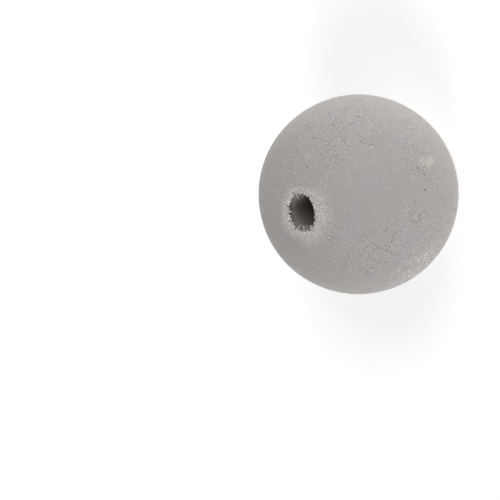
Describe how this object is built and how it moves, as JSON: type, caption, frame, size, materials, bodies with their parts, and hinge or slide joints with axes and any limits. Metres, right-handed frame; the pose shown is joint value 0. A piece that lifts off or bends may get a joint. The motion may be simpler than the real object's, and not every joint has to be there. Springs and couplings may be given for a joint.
{
  "type": "wooden bead",
  "caption": "Round turned wooden bead with a drilled through bore, painted matte grey, for threading on a cord, thong or thin rod.",
  "frame": {"origin": "the middle of the bead, on the bore's axis", "axes": "+Z along the bore, towards the torn mouth; the bead stands on its clean mouth, towards -Z"},
  "size_m": [0.025, 0.025, 0.0244],
  "materials": {
    "painted_wood": "matte light grey paint over sanded wood, rough where the drill tore the upper mouth"
  },
  "bodies": {
    "root": {"bead": "painted_wood"}
  },
  "joints": []
}
